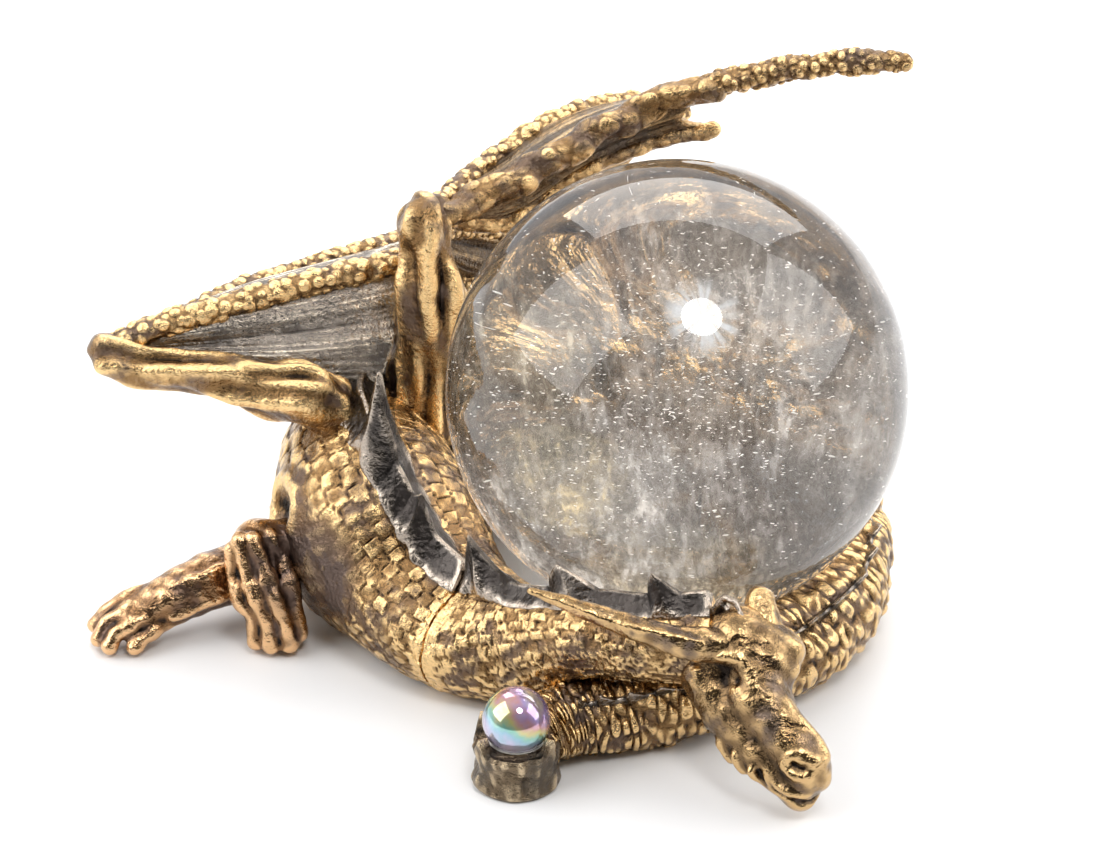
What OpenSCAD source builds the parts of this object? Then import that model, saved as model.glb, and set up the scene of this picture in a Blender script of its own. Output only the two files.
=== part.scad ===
// Crystal ball held in the coil of a cast dragon. Millimetres, +Z up.
// The origin is on the table, in the middle of the dragon's box; -Y is the front.

/* [Ball] */
// Diameter of the crystal ball; the dragon is sculpted round it and follows it
ball_d = 56; // [46:0.5:68]
// Gap between the ball and the seat ground into the castings
seat_gap = 0.15; // [0.05:0.01:0.3]

/* [Coil] */
// Thickness of the tail where the ball rests on it
tail_d = 12.8; // [10:0.2:16]
// Girth of the neck and torso, as a share of the sculpted girth
body_girth = 1; // [0.8:0.01:1.2]
// Gap where the neck lies over the tail
lie_gap = 0.3; // [0.1:0.05:1]

/* [Crests] */
// Thickness of the crest plates at their edge
crest_t = 0.7; // [0.4:0.05:1.2]
// Height of the tallest plate of the neck crest
neck_crest_h = 8; // [5:0.2:10]
// Height of the spike at the shoulders, the tallest of the torso crest
spike_h = 11; // [7:0.5:13]
// Height of the tail crest's plates
tail_crest_h = 2.2; // [1:0.1:3.5]

/* [Wings] */
// Thickness of the cast wing membrane
membrane_t = 0.9; // [0.6:0.05:1.6]
// Thickness of the wing fingers at the wrist
finger_d = 3.6; // [2.6:0.1:4.6]
// Length of the left wing's leading finger past its membrane
free_finger = 22.8; // [12:0.2:28]

/* [Bead] */
// Diameter of the glass bead in the tail tip
bead_d = 8; // [6:0.5:10]
// Wall of the bead cup at its rim
cup_wall = 1.1; // [0.8:0.1:1.8]
// Thickness of the cement film under the bead
cement_t = 0.2; // [0.1:0.05:0.4]

/* [Joints] */
// Diameter of the pegs that line up the neck, head and tail castings
peg_d = 3; // [2:0.25:3.75]
// Length of those pegs
peg_l = 8; // [6:0.5:10]
// Diameter of the spigots on the wing and leg castings
spigot_d = 4; // [3:0.25:5]
// Depth of the spigots' sockets in the torso
spigot_l = 7; // [5:0.5:9]
// Gap all round a peg or spigot, filled with solder
solder_gap = 0.05; // [0.03:0.01:0.15]

/* [Hidden] */
sculpt_ball_d = 56;   // the ball that the points below are drawn for
k = ball_d / sculpt_ball_d;
ball_r = ball_d / 2;
ball_c = [0, 0, 5 * k + ball_r];
g = body_girth;
tk = tail_d / 12.8 / k;   // the tail's own girth against the sculpted one
up = [0, 0, 1];
sides = 20;
steps = 5;

// Height of the neck's middle where it crosses the tail
tail_cross_r = 4.45 * tk;
cross_z = 2 * tail_cross_r + 4.6 * g + lie_gap / k;

// Coil stations from the head to the tail's tip, for the sculpted ball: x, y, z of the middle,
// then the half width outwards, the half height and the half width inwards. These points and
// those further down have the ball's own axis at x = 0, y = 0.
coil = [
    [4, -27, cross_z + 1.3, 4.8 * g, 4.8 * g, 4.8 * g],
    [-3.6, -26, cross_z + 0.4, 4.6 * g, 4.6 * g, 4.6 * g],
    [-11, -23, cross_z - 1, 4.8 * g, 4.8 * g, 4.8 * g],
    [-18, -17.8, 8, 6.2 * g, 6.8 * g, 6.2 * g],
    [-25, -12.5, 6.5, 8.6 * g, 7 * g, 6.4 * g],
    [-32, -5.5, 7.8, 9.6 * g, 8.8 * g, 6.6 * g],
    [-37, 2, 11, 11 * g, 13.4 * g, 7 * g],
    [-38.6, 10, 12.6, 11.4 * g, 14.4 * g, 7.2 * g],
    [-35, 20, 12.4, 11.4 * g, 13 * g, 8 * g],
    [-25, 28.5, 12, 11.4 * g, 12 * g, 10 * g],
    [-11, 31.8, 11.2, 11.6 * g, 11.4 * g, 11.4 * g],
    [3, 31.4, 10.4, 12 * g, 10.8 * g, 10.8 * g],
    [13.5, 25, 9.4, 10 * g, 9.2 * g, 9.2 * g],
    [19, 17, 7.6 * tk, 7.6 * tk, 7.6 * tk, 7.4 * tk],
    [20.6, 9, 6.8 * tk, 6.7 * tk, 6.8 * tk, 6.7 * tk],
    [20.8, 1, 6.4 * tk, 6.4 * tk, 6.4 * tk, 6.4 * tk],
    [18.6, -7.6, 6.0 * tk, 6.0 * tk, 6.0 * tk, 6.0 * tk],
    [13, -14.6, 5.5 * tk, 5.5 * tk, 5.5 * tk, 5.5 * tk],
    [6.6, -20.4, 5 * tk, 5 * tk, 5 * tk, 5 * tk],
    [0, -24.6, 4.6 * tk, 4.6 * tk, 4.6 * tk, 4.6 * tk],
    [-7, -26.6, 4.4 * tk, 4.4 * tk, 4.4 * tk, 4.4 * tk],
    [-13, -28, 4.2 * tk, 4.2 * tk, 4.2 * tk, 4.2 * tk],
    [-17, -30.6, 3.9 * tk, 3.8 * tk, 3.9 * tk, 3.8 * tk],
    [-18.6, -33.2, 3.6 * tk, 3.6 * tk, 3.6 * tk, 3.6 * tk]];
neck_last = 4;     // station where the neck meets the torso
torso_last = 12;   // station where the torso meets the tail
tail_last = len(coil) - 1;

function unit(v) = v / norm(v);
function first3(p) = [p[0], p[1], p[2]];
function near_end(p, i) = i < 0 ? 2 * p[0] - p[1]
    : i > len(p) - 1 ? 2 * p[len(p) - 1] - p[len(p) - 2] : p[i];
function curve_point(a, b, c, d, t) =
    0.5 * (2 * b + (c - a) * t + (2 * a - 5 * b + 4 * c - d) * t * t
           + (3 * b - a - 3 * c + d) * t * t * t);
// A smooth curve through points p, with n steps between each two of them
function smooth(p, n) = concat(
    [for (i = [0:len(p) - 2], j = [0:n - 1])
        curve_point(near_end(p, i - 1), p[i], p[i + 1], near_end(p, i + 2), j / n)],
    [p[len(p) - 1]]);
// A point at share s, from 0 to 1, of the smooth curve through points p
function along(p, s) = let (x = min(s, 0.9999) * (len(p) - 1), i = floor(x))
    curve_point(near_end(p, i - 1), p[i], p[i + 1], near_end(p, i + 2), x - i);

path = smooth(coil, steps);
function heading(i) = unit(first3(near_end(path, i + 1)) - first3(near_end(path, i - 1)));
function outward(i) = unit(cross(up, heading(i)));
function upward(i) = cross(heading(i), outward(i));
function skin(i, angle) = let (
        p = path[i],
        wide = cos(angle) > 0 ? p[3] : p[5],
        q = first3(p) + outward(i) * wide * cos(angle) + upward(i) * p[4] * sin(angle))
    k * [q[0], q[1], max(q[2], 0)];
function ring(i) = [for (j = [0:sides - 1]) skin(i, 360 * j / sides)];

// A closed solid through rings of the same number of points. What lies on the coil's facets
// splits its own the other way, so that both share the same triangles.
module loft(rings, on_coil = false) {
    n = len(rings[0]);
    m = len(rings);
    centre = [for (r = [rings[0], rings[m - 1]])
        [for (c = [0:2]) let (v = [for (q = r) q[c]]) (max(v) + min(v)) / 2]];
    points = concat([for (r = rings) each r], centre);
    wall = [for (i = [0:m - 2], j = [0:n - 1]) let (
            a = i * n + j, b = i * n + (j + 1) % n, c = b + n, d = a + n)
        each on_coil ? [[a, d, c], [a, c, b]] : [[a, d, b], [b, d, c]]];
    start = [for (j = [0:n - 1]) [m * n, j, (j + 1) % n]];
    finish = [for (j = [0:n - 1]) [m * n + 1, (m - 1) * n + (j + 1) % n, (m - 1) * n + j]];
    polyhedron(points, concat(wall, start, finish), convexity = 6);
}

module coil_length(from, to) {
    loft([for (i = [from * steps:to * steps]) ring(i)]);
}

// Turns +Z to point along v, at point p
module aim(p, v) {
    translate(p) rotate([0, acos(v[2] / norm(v)), atan2(v[1], v[0])]) children();
}

module crystal_ball() {
    color("lightcyan", 0.4) translate(ball_c) sphere(d = ball_d, $fn = 96);
}

module ball_space() {
    translate(ball_c) sphere(d = ball_d + 2 * seat_gap, $fn = 96);
}

// A peg across the end of the coil's station s, grown by gap all round
module peg(s, gap) {
    i = s * steps;
    aim(k * first3(path[i]), heading(i)) rotate(7)
        cylinder(d = peg_d + 2 * gap, h = peg_l + 2 * gap, center = true, $fn = 32);
}

// Spigots: a point on each one's axis at the torso's skin, and the way the spigot leaves
left_wing_root = [[-32.4, 14, 20], [0.02, 0, 1]];
right_wing_root = [[-43.6, 6.4, 24.4], [-0.25, 0, 1]];
raised_leg_root = [[-47, -0.6, 12], [-1, -0.1, 0.05]];
resting_leg_root = [[-47.8, 4, 5.4], [-1, 0, 0]];
outer_leg_root = [[12, 37.5, 6.5], [0.35, 1, 0]];
inner_leg_root = [[4, 20.4, 5], [0, -1, -0.1]];

module spigot(root, gap, out) {
    aim(k * root[0] - unit(root[1]) * (spigot_l + gap), root[1])
        cylinder(d = spigot_d + 2 * gap, h = spigot_l + gap + out, $fn = 32);
}

module torso() {
    color("darkgoldenrod") difference() {
        coil_length(neck_last, torso_last);
        ball_space();
        peg(neck_last, solder_gap);
        peg(torso_last, solder_gap);
        for (root = [left_wing_root, right_wing_root, raised_leg_root, resting_leg_root,
                     outer_leg_root, inner_leg_root])
            spigot(root, solder_gap, 6);
    }
}

module neck() {
    color("goldenrod") difference() {
        coil_length(0, neck_last);
        ball_space();
        peg(neck_last, solder_gap);
        peg(0, solder_gap);
    }
}

cup_at = [-19.2, -33.8];
cup_r = bead_d / 2 + cup_wall;
cup_floor = 4;
cup_h = cup_floor + 1.6;
claw_r = 0.9;
claw_proud = 0.35;
bead_z = cup_floor + cement_t + bead_d / 2;

module tail() {
    color("darkgoldenrod") difference() {
        coil_length(torso_last, tail_last);
        ball_space();
        peg(torso_last, solder_gap);
        translate([k * cup_at[0], k * cup_at[1], -1])
            cylinder(r = cup_r + claw_proud + solder_gap, h = 30, $fn = 64);
    }
}

module bead_cup() {
    color("gray") translate([k * cup_at[0], k * cup_at[1], 0]) difference() {
        union() {
            cylinder(r = cup_r, h = cup_h, $fn = 64);
            for (turn = [35, 145, 215, 325])
                rotate(turn) translate([cup_r + claw_proud - claw_r, 0, 0])
                    cylinder(r = claw_r, h = bead_z - 0.4, $fn = 20);
        }
        translate([0, 0, bead_z]) sphere(d = bead_d + 2 * cement_t, $fn = 64);
        translate([0, 0, bead_z]) cylinder(d = bead_d + 2 * cement_t, h = bead_d, $fn = 64);
    }
}

module bead_cement() {
    color("whitesmoke") translate([k * cup_at[0], k * cup_at[1], bead_z]) difference() {
        sphere(d = bead_d + 2 * cement_t, $fn = 64);
        sphere(d = bead_d, $fn = 64);
        translate([-bead_d, -bead_d, -0.3 * bead_d]) cube(2 * bead_d);
    }
}

module bead() {
    color("lavender") translate([k * cup_at[0], k * cup_at[1], bead_z]) sphere(d = bead_d, $fn = 64);
}

// A crest's plates: the stations where each starts and ends, and its height as a share of the
// tallest. A plate rises slowly from its head end to its tip and drops steeply behind it.
neck_plates = [[0.1, 0.9, 0.68], [1.3, 2.2, 0.7], [2.4, 4, 1]];
torso_plates = [[4, 5.5, 0.5], [5.6, 6.3, 1], [6.8, 8, 0.3], [8.1, 9.3, 0.3], [9.4, 10.6, 0.35],
                [10.7, 11.9, 0.35]];
tail_plates = [for (s = [torso_last:0.5:tail_last - 2]) [s, s + 0.5, 1]];
ridge = 0.12;   // share of the height that is left between plates

function tooth(s) = s < 0.8 ? ridge + (1 - ridge) * pow(s / 0.8, 1.6)
    : 1 - (1 - ridge) * (s - 0.8) / 0.2;
function crest_share(s, plates) = max([ridge, for (p = plates)
    if (s > p[0] && s < p[1]) p[2] * tooth((s - p[0]) / (p[1] - p[0]))]);

// A crest on the coil's facets between stations a and b, round the ring at angle "turn"; each
// ring's tip leans back
module crest(a, b, plates, tall, turn) {
    half = 360 / sides;
    difference() {
        loft([for (i = [a * steps:b * steps]) let (
                h = k * tall * crest_share(i / steps, plates),
                rise = outward(i) * cos(turn) + upward(i) * sin(turn),
                across = outward(i) * sin(turn) - upward(i) * cos(turn),
                tip = skin(i, turn) + (rise + heading(i) * 0.25) * h,
                side = across * crest_t / 2)
            [skin(i, turn + half), skin(i, turn), skin(i, turn - half), tip + side, tip - side]],
            on_coil = true);
        ball_space();
    }
}

module neck_crest() {
    color("dimgray") crest(0, neck_last, neck_plates, neck_crest_h, 90);
}

module torso_crest() {
    color("dimgray") crest(neck_last, torso_last, torso_plates, spike_h, 90);
}

// The tail's crest runs along its outer shoulder, clear of the neck that crosses it
module tail_crest() {
    color("dimgray") crest(torso_last, tail_last - 2, tail_plates, tail_crest_h, 54);
}

// Hulls from ball to ball along points of x, y, z and radius
module chain(points, fn = 10) {
    for (i = [0:len(points) - 2])
        hull() for (p = [points[i], points[i + 1]])
            translate(k * first3(p)) sphere(r = k * p[3], $fn = fn);
}

module skull() {
    hull() {
        translate(k * [6.2, -28.2, cross_z + 1.6]) sphere(r = 4.9 * k, $fn = 18);
        translate(k * [8.2, -31.8, cross_z - 2.2]) sphere(r = 5 * k, $fn = 18);
    }
    hull() {
        translate(k * [8.4, -32, cross_z - 2.6]) sphere(r = 4.8 * k, $fn = 18);
        translate(k * [13.8, -40.4, 5.6]) sphere(r = 3.6 * k, $fn = 16);
    }
    hull() {
        translate(k * [5.8, -31.4, cross_z - 5]) sphere(r = 3.5 * k, $fn = 14);
        translate(k * [12.4, -40.4, 3]) sphere(r = 2.8 * k, $fn = 14);
    }
}

module head() {
    color("goldenrod") difference() {
        skull();
        // Cut off flat where the neck's end meets it
        aim(k * first3(path[0]), heading(0)) cylinder(r = 12 * k, h = 20 * k, $fn = 48);
        peg(0, solder_gap);
    }
}

module right_horn() {
    color("peru") difference() {
        chain([[4.8, -33, cross_z + 1.4, 1.5], [-3.8, -32.2, cross_z + 4.9, 1.4],
               [-10.7, -29.6, cross_z + 6.6, 1.1], [-17.6, -27.6, cross_z + 8.2, 0.6]], 12);
        skull();
    }
}

module left_horn() {
    color("peru") difference() {
        chain([[9.1, -27, cross_z + 5, 1.9], [8.7, -26, cross_z + 7, 1.2]], 12);
        skull();
    }
}

// Wing fingers start at the wrist; each is a list of points that a smooth curve passes through
left_wrist = [-30.6, 14, 49.7];
left_arm = [[-32.4, 14, 19, 3.6], [-31.6, 14, 28, 3.6], [-31, 14, 34, 2.8],
            [-30.8, 13.5, 40, 3.1], [-30.7, 14, 45, 2.6], [-30.6, 14, 49.7, 3.2], [-30.4, 14, 52.4, 1.6]];
left_fingers = [
    [left_wrist, [-20.8, 20, 45.8], [-11.5, 24, 50.7], [-2.9, 25.5, 54], [6, 26, 55.8]],
    [left_wrist, [-20.7, 18.5, 51.6], [-10, 22, 57], [-0.8, 24, 60.6], [6.5, 24, 63]],
    [left_wrist, [-23.6, 25, 50.8], [-14.6, 33, 53.6], [-5, 41, 52.4], [3, 46.6, 48.4]],
    [left_wrist, [-28.8, 24, 43], [-21.8, 34, 37.4], [-14, 41, 31.6], [-6.4, 44.6, 25.5]],
    [left_wrist, [-30.2, 20, 41], [-29, 25.6, 35], [-26.6, 29.6, 32], [-23, 33, 31]]];

right_wrist = [-70, 8, 34];
right_arm = [[-43, 5.9, 28.3, 2.3], [-45.2, 6, 29.3, 3.7], [-50, 6.2, 30.1, 3.4],
             [-58.5, 6.7, 31.7, 2.8], [-65.9, 7.2, 32.7, 2.3], [-70.2, 7.7, 34.1, 2.6],
             [-72.2, 7.7, 34.5, 1.4]];
right_fingers = [
    [right_wrist, [-62, 7.4, 32.1], [-54, 7, 30.9], [-48, 6.5, 30], [-44, 6.3, 29.4]],
    [right_wrist, [-63.2, 9.5, 36.7], [-56.6, 11.5, 38], [-46.3, 15, 39.4], [-34.6, 19, 40.7]],
    [right_wrist, [-61.2, 13, 36], [-53, 20, 36.9], [-44, 27, 36.6], [-34.6, 33, 36.6]],
    [right_wrist, [-62.4, 18, 31.6], [-53.4, 27, 27.4], [-44.6, 33.6, 22.6], [-38, 37, 19.4]]];

// A wing's cast sheet: a thin membrane with bays in its outer edge, and a ridge along each finger,
// "thick" across at the wrist and "thin" at its tip. The finger that a round bone runs along has
// no ridge of its own.
bay_places = [0, 0.1, 0.35, 0.65, 0.9];
module wing_sheet(fingers, boned, bay, thick, thin) {
    last = len(fingers) - 1;
    places = concat([for (i = [0:last - 1], f = bay_places) i + f], [last]);
    function at(u, v) = let (
            i = min(floor(v), last - 1),
            f = v - i,
            reach = (0.12 + 0.88 * u) * (1 - bay * sin(180 * f)))
        k * ((1 - f) * along(fingers[i], reach) + f * along(fingers[i + 1], reach));
    function lift(u, v) = let (e = 0.01) unit(cross(
            at(min(u + e, 1), v) - at(max(u - e, 0), v),
            at(u, min(v + e, last)) - at(u, max(v - e, 0))));
    function half(u, v) = v == round(v) && v != boned ? (thick + (thin - thick) * u) / 2
        : membrane_t / 2;
    rows = 9;
    loft([for (a = [rows:-1:0]) let (u = a / rows) concat(
        [for (v = places) at(u, v) + lift(u, v) * half(u, v)],
        [for (n = [len(places) - 1:-1:0]) at(u, places[n]) - lift(u, places[n]) * half(u, places[n])])]);
}

// A round bone through points of x, y, z and radius, none of it running along Y
module bone(points) {
    q = smooth(points, 4);
    loft([for (i = [0:len(q) - 1]) let (
            ahead = unit(first3(near_end(q, i + 1)) - first3(near_end(q, i - 1))),
            wide = unit(cross([0, 1, 0], ahead)),
            tall = cross(ahead, wide))
        [for (j = [0:9]) k * first3(q[i]) + k * q[i][3] * (wide * cos(36 * j) + tall * sin(36 * j))]]);
}

lead_r = finger_d / 2 / k;
free_share = free_finger / 22.8;
free_start = [6.5, 24, 63];
lead_bone = concat(
    [[-32.4, 13.2, 48, 2.4], [-26.4, 16.4, 49.9, lead_r]],
    [for (p = [[-20.7, 18.5, 51.6], [-10, 22, 57], [-0.8, 24, 60.6], free_start]) concat(p, [lead_r])],
    [for (p = [[14.6, 23.5, 65.1], [24.4, 22.5, 66.4]])
        concat(free_start + free_share * (p - free_start), [lead_r])],
    [concat(free_start + free_share * [22.5, -2.5, 3.5], [lead_r * 0.7])]);
left_tip = k * first3(lead_bone[len(lead_bone) - 1]);

// The bones of a wing are cast with a spigot; its thin sheet is let into them and soldered
module left_wing_bones() {
    color("goldenrod") {
        spigot(left_wing_root, 0, 5 * k);
        difference() {
            bone(left_arm);
            coil_length(neck_last, torso_last);
        }
        bone(lead_bone);
    }
}

module left_wing_skin() {
    color("tan") wing_sheet(left_fingers, 1, 0.16, finger_d * 0.8, finger_d * 0.45);
}

module right_wing_bones() {
    color("goldenrod") {
        spigot(right_wing_root, 0, 4 * k);
        bone(right_arm);
    }
}

module right_wing_skin() {
    color("tan") wing_sheet(right_fingers, 0, 0.1, finger_d * 0.8, finger_d * 0.5);
}

// A paw: toes from its wrist, each through a knuckle to its claw
module paw(wrist, knuckles, tips, r) {
    for (i = [0:len(knuckles) - 1])
        chain([concat(wrist, [1.5 * r]), concat(knuckles[i], [r]), concat(tips[i], [0.75 * r])], 8);
}

raised_tips = [[-51.6, -7.4, 1.6], [-49.4, -8.4, 1.5], [-47.4, -8.2, 1.5], [-46.2, -6.6, 3.4]];
module raised_foreleg() {
    color("goldenrod") {
        spigot(raised_leg_root, 0, 3 * k);
        chain([[-50.6, -0.8, 12.4, 2.7], [-52.4, -2.4, 12.4, 3]]);
        paw([-52, -3.4, 11.8],
            [[-54, -4.8, 7.4], [-51.6, -6.2, 7.8], [-49, -6.2, 8.2], [-47.6, -5, 9]], raised_tips, 1.35);
    }
}

resting_tips = [[-72, -3.6, 1.7], [-71.6, -6.4, 1.6], [-69, -8.2, 1.5], [-66.4, -8.4, 1.4]];
module resting_foreleg() {
    color("goldenrod") {
        spigot(resting_leg_root, 0, 4 * k);
        chain([[-53.2, 3.6, 5.4, 2.9], [-58, 0.6, 5.6, 3], [-62.6, -1.8, 5, 2.8]]);
        paw([-63, -2, 4.6],
            [[-67.6, -1.4, 4.2], [-67.8, -3.4, 4.4], [-66.4, -5.2, 3.6], [-64.6, -5.8, 2.6]],
            resting_tips, 1.3);
    }
}

outer_tips = [[-11, 46.4, 1.4], [-12, 49, 1.4], [-11, 51.6, 1.4]];
module outer_hind_leg() {
    color("goldenrod") {
        spigot(outer_leg_root, 0, 4 * k);
        chain([[14, 43, 7, 3.2], [10, 45.4, 4.6, 2.8], [3, 47.6, 3.4, 2.5], [-3, 48.4, 3, 2.3]]);
        paw([-3, 48.4, 3], [[-7, 47, 2.6], [-7.6, 48.8, 2.8], [-7, 50.6, 2.4]], outer_tips, 1.3);
    }
}

inner_tips = [[-13, 13.4, 1.3], [-13.4, 15.8, 1.3], [-12.4, 18, 1.3]];
module inner_hind_leg() {
    color("goldenrod") {
        spigot(inner_leg_root, 0, 2 * k);
        chain([[3, 17, 3.6, 2.4], [-1, 15.6, 2.8, 2.2], [-6, 15.6, 2.4, 2]]);
        paw([-6, 15.6, 2.4], [[-10, 14, 2.2], [-10.4, 15.8, 2.4], [-9.8, 17.4, 2.2]], inner_tips, 1.2);
    }
}

module joint_peg(s) {
    color("silver") peg(s, 0);
}

// The middle of the dragon's box: between the resting foreleg's claws and the wing's tip,
// and between the nose and the outer hind claws
west = k * (resting_tips[0][0] - 1);
east = left_tip[0] + 0.3 * k;
south = k * (-40.4 - 3.6);
north = k * (outer_tips[2][1] + 1);
module place() {
    translate([-(west + east) / 2, -(south + north) / 2, 0]) children();
}

place() crystal_ball();
place() torso();
place() neck();
place() head();
place() right_horn();
place() left_horn();
place() neck_crest();
place() torso_crest();
place() tail();
place() tail_crest();
place() bead_cup();
place() bead_cement();
place() bead();
place() left_wing_bones();
place() left_wing_skin();
place() right_wing_bones();
place() right_wing_skin();
place() raised_foreleg();
place() resting_foreleg();
place() outer_hind_leg();
place() inner_hind_leg();
place() joint_peg(neck_last);  // neck_peg
place() joint_peg(0);  // head_peg
place() joint_peg(torso_last);  // tail_peg
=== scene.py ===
import math

import bmesh
import bpy
import numpy as np
from mathutils import Matrix, Vector


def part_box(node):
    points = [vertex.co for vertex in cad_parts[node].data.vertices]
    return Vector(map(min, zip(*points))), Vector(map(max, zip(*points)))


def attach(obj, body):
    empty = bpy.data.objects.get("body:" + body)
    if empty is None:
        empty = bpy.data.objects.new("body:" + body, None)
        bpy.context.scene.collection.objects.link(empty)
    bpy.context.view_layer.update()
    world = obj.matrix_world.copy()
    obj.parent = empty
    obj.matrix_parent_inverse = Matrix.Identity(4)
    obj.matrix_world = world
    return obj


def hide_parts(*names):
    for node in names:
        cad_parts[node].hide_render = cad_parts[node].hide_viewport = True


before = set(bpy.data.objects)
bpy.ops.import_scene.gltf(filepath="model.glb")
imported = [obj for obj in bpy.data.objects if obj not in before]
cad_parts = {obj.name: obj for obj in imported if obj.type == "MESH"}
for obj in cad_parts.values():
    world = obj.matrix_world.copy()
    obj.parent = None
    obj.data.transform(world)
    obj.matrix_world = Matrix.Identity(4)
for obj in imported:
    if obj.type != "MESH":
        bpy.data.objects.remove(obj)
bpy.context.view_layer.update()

# Camera. A long lens looks down at the ball from the front. All places below are in millimetres
# from the foot of the ball's axis, as in the casting's own drawing.
MM = 0.001
FROM_BALL = (-15.32, -349.49, 196.67)
LENS, TILT = 108.52, 60
ball_low, ball_high = (np.array(corner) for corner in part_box("crystal_ball"))
ball_middle = (ball_low + ball_high) / 2
BALL_R = (ball_high[2] - ball_low[2]) / 2 / MM
BALL_Z = ball_middle[2] / MM
AXIS = np.array([ball_middle[0], ball_middle[1], 0])
camera_data = bpy.data.cameras.new("camera")
camera_data.lens = LENS
camera_data.sensor_width = 36
camera_data.clip_start = 0.01
camera = bpy.data.objects.new("camera", camera_data)
camera.location = ball_middle + MM * np.array(FROM_BALL)
camera.rotation_euler = (math.radians(TILT), 0, 0)
bpy.context.collection.objects.link(camera)
bpy.context.scene.camera = camera


# Floor and lamps. A white table under a round flash umbrella, seen as a bright disc in the ball,
# and three large soft lamps. The room is bright behind the ball and dark in front of it, which
# gives the gold its browns.
class Link:
    """A shader value; arithmetic on it adds Math nodes."""

    def __init__(self, finish, socket):
        self.finish, self.socket = finish, socket

    def maths(self, operation, *others):
        return self.finish.node("ShaderNodeMath", {"operation": operation}, [self, *others])

    def __add__(self, other):
        return self.maths("ADD", other)

    def __mul__(self, other):
        return self.maths("MULTIPLY", other)

    def __sub__(self, other):
        return self.maths("SUBTRACT", other)

    def __rsub__(self, other):
        return self.finish.node("ShaderNodeMath", {"operation": "SUBTRACT"}, [other, self])

    __radd__ = __add__
    __rmul__ = __mul__

    def between(self, low, high, start=0.0, end=1.0):
        """Goes smoothly from start to end as the value goes from low to high."""
        return self.finish.node(
            "ShaderNodeMapRange", {"interpolation_type": "SMOOTHSTEP"},
            {"Value": self, "From Min": low, "From Max": high, "To Min": start, "To Max": end})


class Finish:
    """A material being made: its Principled shader and the nodes that feed it."""

    def __init__(self, name, **constants):
        self.material = bpy.data.materials.new(name)
        self.material.use_nodes = True
        self.tree = self.material.node_tree
        self.shader = self.tree.nodes["Principled BSDF"]
        self.set(self.shader, {key.replace("_", " "): value for key, value in constants.items()})
        self.place = self.node("ShaderNodeTexCoord", output="Object")

    def set(self, node, values):
        pairs = values.items() if isinstance(values, dict) else enumerate(values)
        for key, value in pairs:
            if isinstance(value, Link):
                self.tree.links.new(value.socket, node.inputs[key])
            elif isinstance(value, tuple) and node.inputs[key].type == "RGBA":
                node.inputs[key].default_value = (*value, 1)[:4]
            else:
                node.inputs[key].default_value = value

    def node(self, kind, settings={}, values={}, output=0):
        made = self.tree.nodes.new(kind)
        for key, value in settings.items():
            if key == "stops":
                for stop, (place, colour) in zip(made.color_ramp.elements, value):
                    stop.position, stop.color = place, (*colour, 1)
                for place, colour in value[2:]:
                    made.color_ramp.elements.new(place).color = (*colour, 1)
            else:
                setattr(made, key, value)
        self.set(made, values)
        return Link(self, made.outputs[output])

    def mix(self, first, second, share):
        return self.node("ShaderNodeMix", {"data_type": "RGBA"},
                         {0: share, 6: first, 7: second}, output=2)

    def noise(self, size, detail=3.0, rough=0.55, place=None):
        """Cloudy noise whose patches are about "size" millimetres across."""
        return self.node("ShaderNodeTexNoise", {}, {
            "Vector": place or self.place, "Scale": 1 / (size * MM), "Detail": detail,
            "Roughness": rough})

    def far(self, point, place=None):
        """Distance from a point, in metres."""
        return self.node("ShaderNodeVectorMath", {"operation": "DISTANCE"},
                         {0: place or self.place, 1: tuple(point)}, output="Value")

    def attribute(self, name):
        return self.node("ShaderNodeAttribute", {"attribute_name": name}, output="Fac")

    def feed(self, **links):
        self.set(self.shader, {key.replace("_", " "): value for key, value in links.items()})

    def bump(self, height, depth):
        """Relief of "depth" millimetres where height goes from 0 to 1."""
        self.feed(Normal=self.node("ShaderNodeBump", {}, {
            "Strength": 1.0, "Distance": depth * MM, "Height": height}))


def piece(name, shape, finish, body=None, replaces=()):
    """Makes an object of a bmesh, with its place in its mesh, and lets it ride on a body."""
    mesh = bpy.data.meshes.new(name)
    shape.to_mesh(mesh)
    shape.free()
    mesh.shade_smooth()
    mesh.set_sharp_from_angle(angle=math.radians(72))
    made = bpy.data.objects.new(name, mesh)
    made.data.materials.append(finish.material)
    bpy.context.collection.objects.link(made)
    if body:
        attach(made, body)
        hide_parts(*replaces)
    return made


white_table = Finish("white_table", Roughness=0.5)
white_table.feed(Base_Color=white_table.mix((0.86, 0.86, 0.86), (0.88, 0.88, 0.88),
                                            white_table.noise(60)))
table = bmesh.new()
bmesh.ops.create_grid(table, x_segments=2, y_segments=2, size=2.5)
piece("table_top", table, white_table)


def lamp(name, place, aim, width, height, power, shape="RECTANGLE"):
    data = bpy.data.lights.new(name, "AREA")
    data.shape = shape
    data.size, data.size_y = width, height
    data.energy = power
    made = bpy.data.objects.new(name, data)
    made.location = place
    made.rotation_euler = (Vector(aim) - Vector(place)).to_track_quat("-Z", "Y").to_euler()
    bpy.context.collection.objects.link(made)


lamp("flash_umbrella", (0.19, -0.43, 0.95), (0, 0, 0.03), 0.34, 0.34, 3.2, "DISK")
lamp("large_left", (-1.1, -0.2, 0.9), (0, 0, 0.02), 1.3, 1.2, 15)
lamp("large_back", (0.1, 1.1, 1.0), (0, 0, 0.02), 1.8, 1.0, 16)
lamp("large_right", (1.2, 0, 0.8), (0, 0, 0.03), 1.1, 1.1, 9)
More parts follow.
